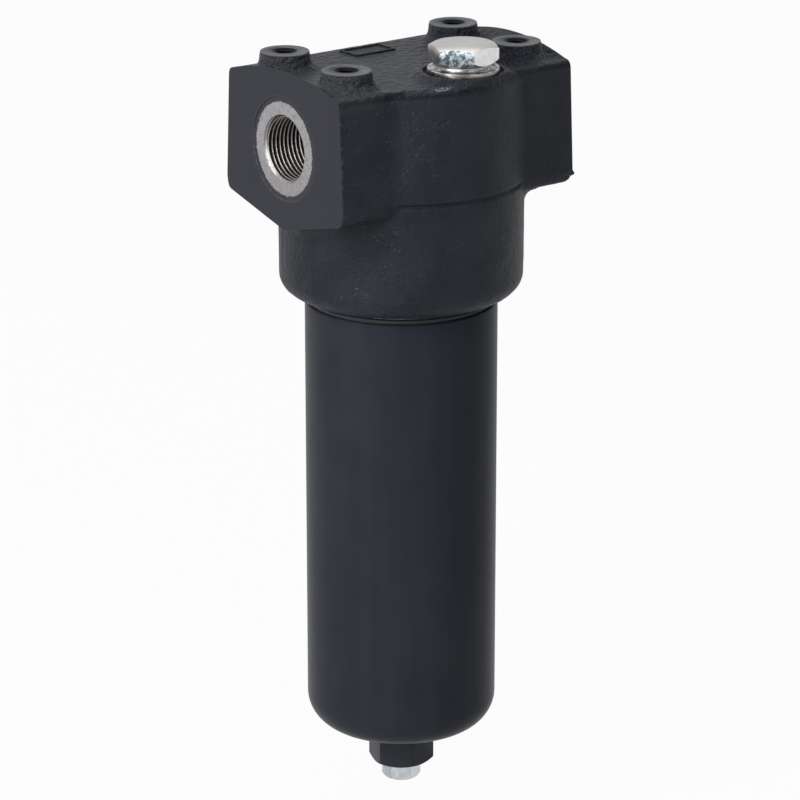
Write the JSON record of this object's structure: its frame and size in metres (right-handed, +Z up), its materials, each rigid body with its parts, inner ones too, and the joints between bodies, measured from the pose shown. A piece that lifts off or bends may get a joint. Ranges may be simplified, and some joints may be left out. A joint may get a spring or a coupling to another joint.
{
  "type": "high pressure filter",
  "caption": "Inline hydraulic filter: iron head with a threaded port at each end, screwed steel bowl, pleated element, bypass valve, indicator and drain plugs.",
  "frame": {"origin": "middle of the four mounting holes, on the plane of their boss tops", "axes": "+Z up out of the mounting holes, +X from the inlet port to the outlet port, -Y towards the indicator port"},
  "size_m": [0.139, 0.121, 0.3887],
  "materials": {
    "head_paint": "semi-matt blue-black paint over a sand-cast skin, bare iron in the port threads",
    "bowl_paint": "satin blue-black paint over turned steel",
    "zinc_plate": "bright zinc plate",
    "turned_steel": "turned steel",
    "spring_steel": "drawn spring wire",
    "cap_sheet": "tinned sheet steel",
    "media": "resin-bound glass fibre sheet",
    "seal_rubber": "matt nitrile rubber",
    "backup_plastic": "off-white fluoroplastic"
  },
  "bodies": {
    "head": {"head_casting": "head_paint", "spigot": "turned_steel", "spigot_seal": "seal_rubber", "bypass_body": "turned_steel", "bypass_seal": "seal_rubber", "bypass_spring": "spring_steel", "bypass_spring_cap": "turned_steel", "indicator_plug": "zinc_plate", "indicator_seal": "seal_rubber", "indicator_nose_seal": "seal_rubber", "element_top_cap": "cap_sheet", "element_seal": "seal_rubber", "element_core": "cap_sheet", "element_media": "media", "element_guard": "cap_sheet", "element_bottom_cap": "cap_sheet"},
    "poppet": {"bypass_poppet": "turned_steel"},
    "bowl_rings": {"bowl_seal": "seal_rubber", "bowl_backup_ring": "backup_plastic"},
    "bowl": {"bowl": "bowl_paint", "drain_plug": "zinc_plate", "drain_seal": "seal_rubber"}
  },
  "joints": [
    {"name": "bypass_lift", "type": "slide", "parent": "head", "child": "poppet", "axis": [0, 0, 1], "range_m": [0, 0.005], "stiffness_N_per_m": 9000, "springref_m": -0.0064, "deforming": ["bypass_spring"]},
    {"name": "bowl_lowering", "type": "slide", "parent": "head", "child": "bowl_rings", "axis": [0, 0, -1], "range_m": [0, 0.022]},
    {"name": "bowl_turning", "type": "hinge", "parent": "bowl_rings", "child": "bowl", "pos_m": [0, 0, -0.1221], "axis": [0, 0, -1], "range_deg": [0, 3960]}
  ],
  "couplings": [
    {"joint": "bowl_lowering", "follows": "bowl_turning", "m_per_rad": 0.00031831}
  ]
}
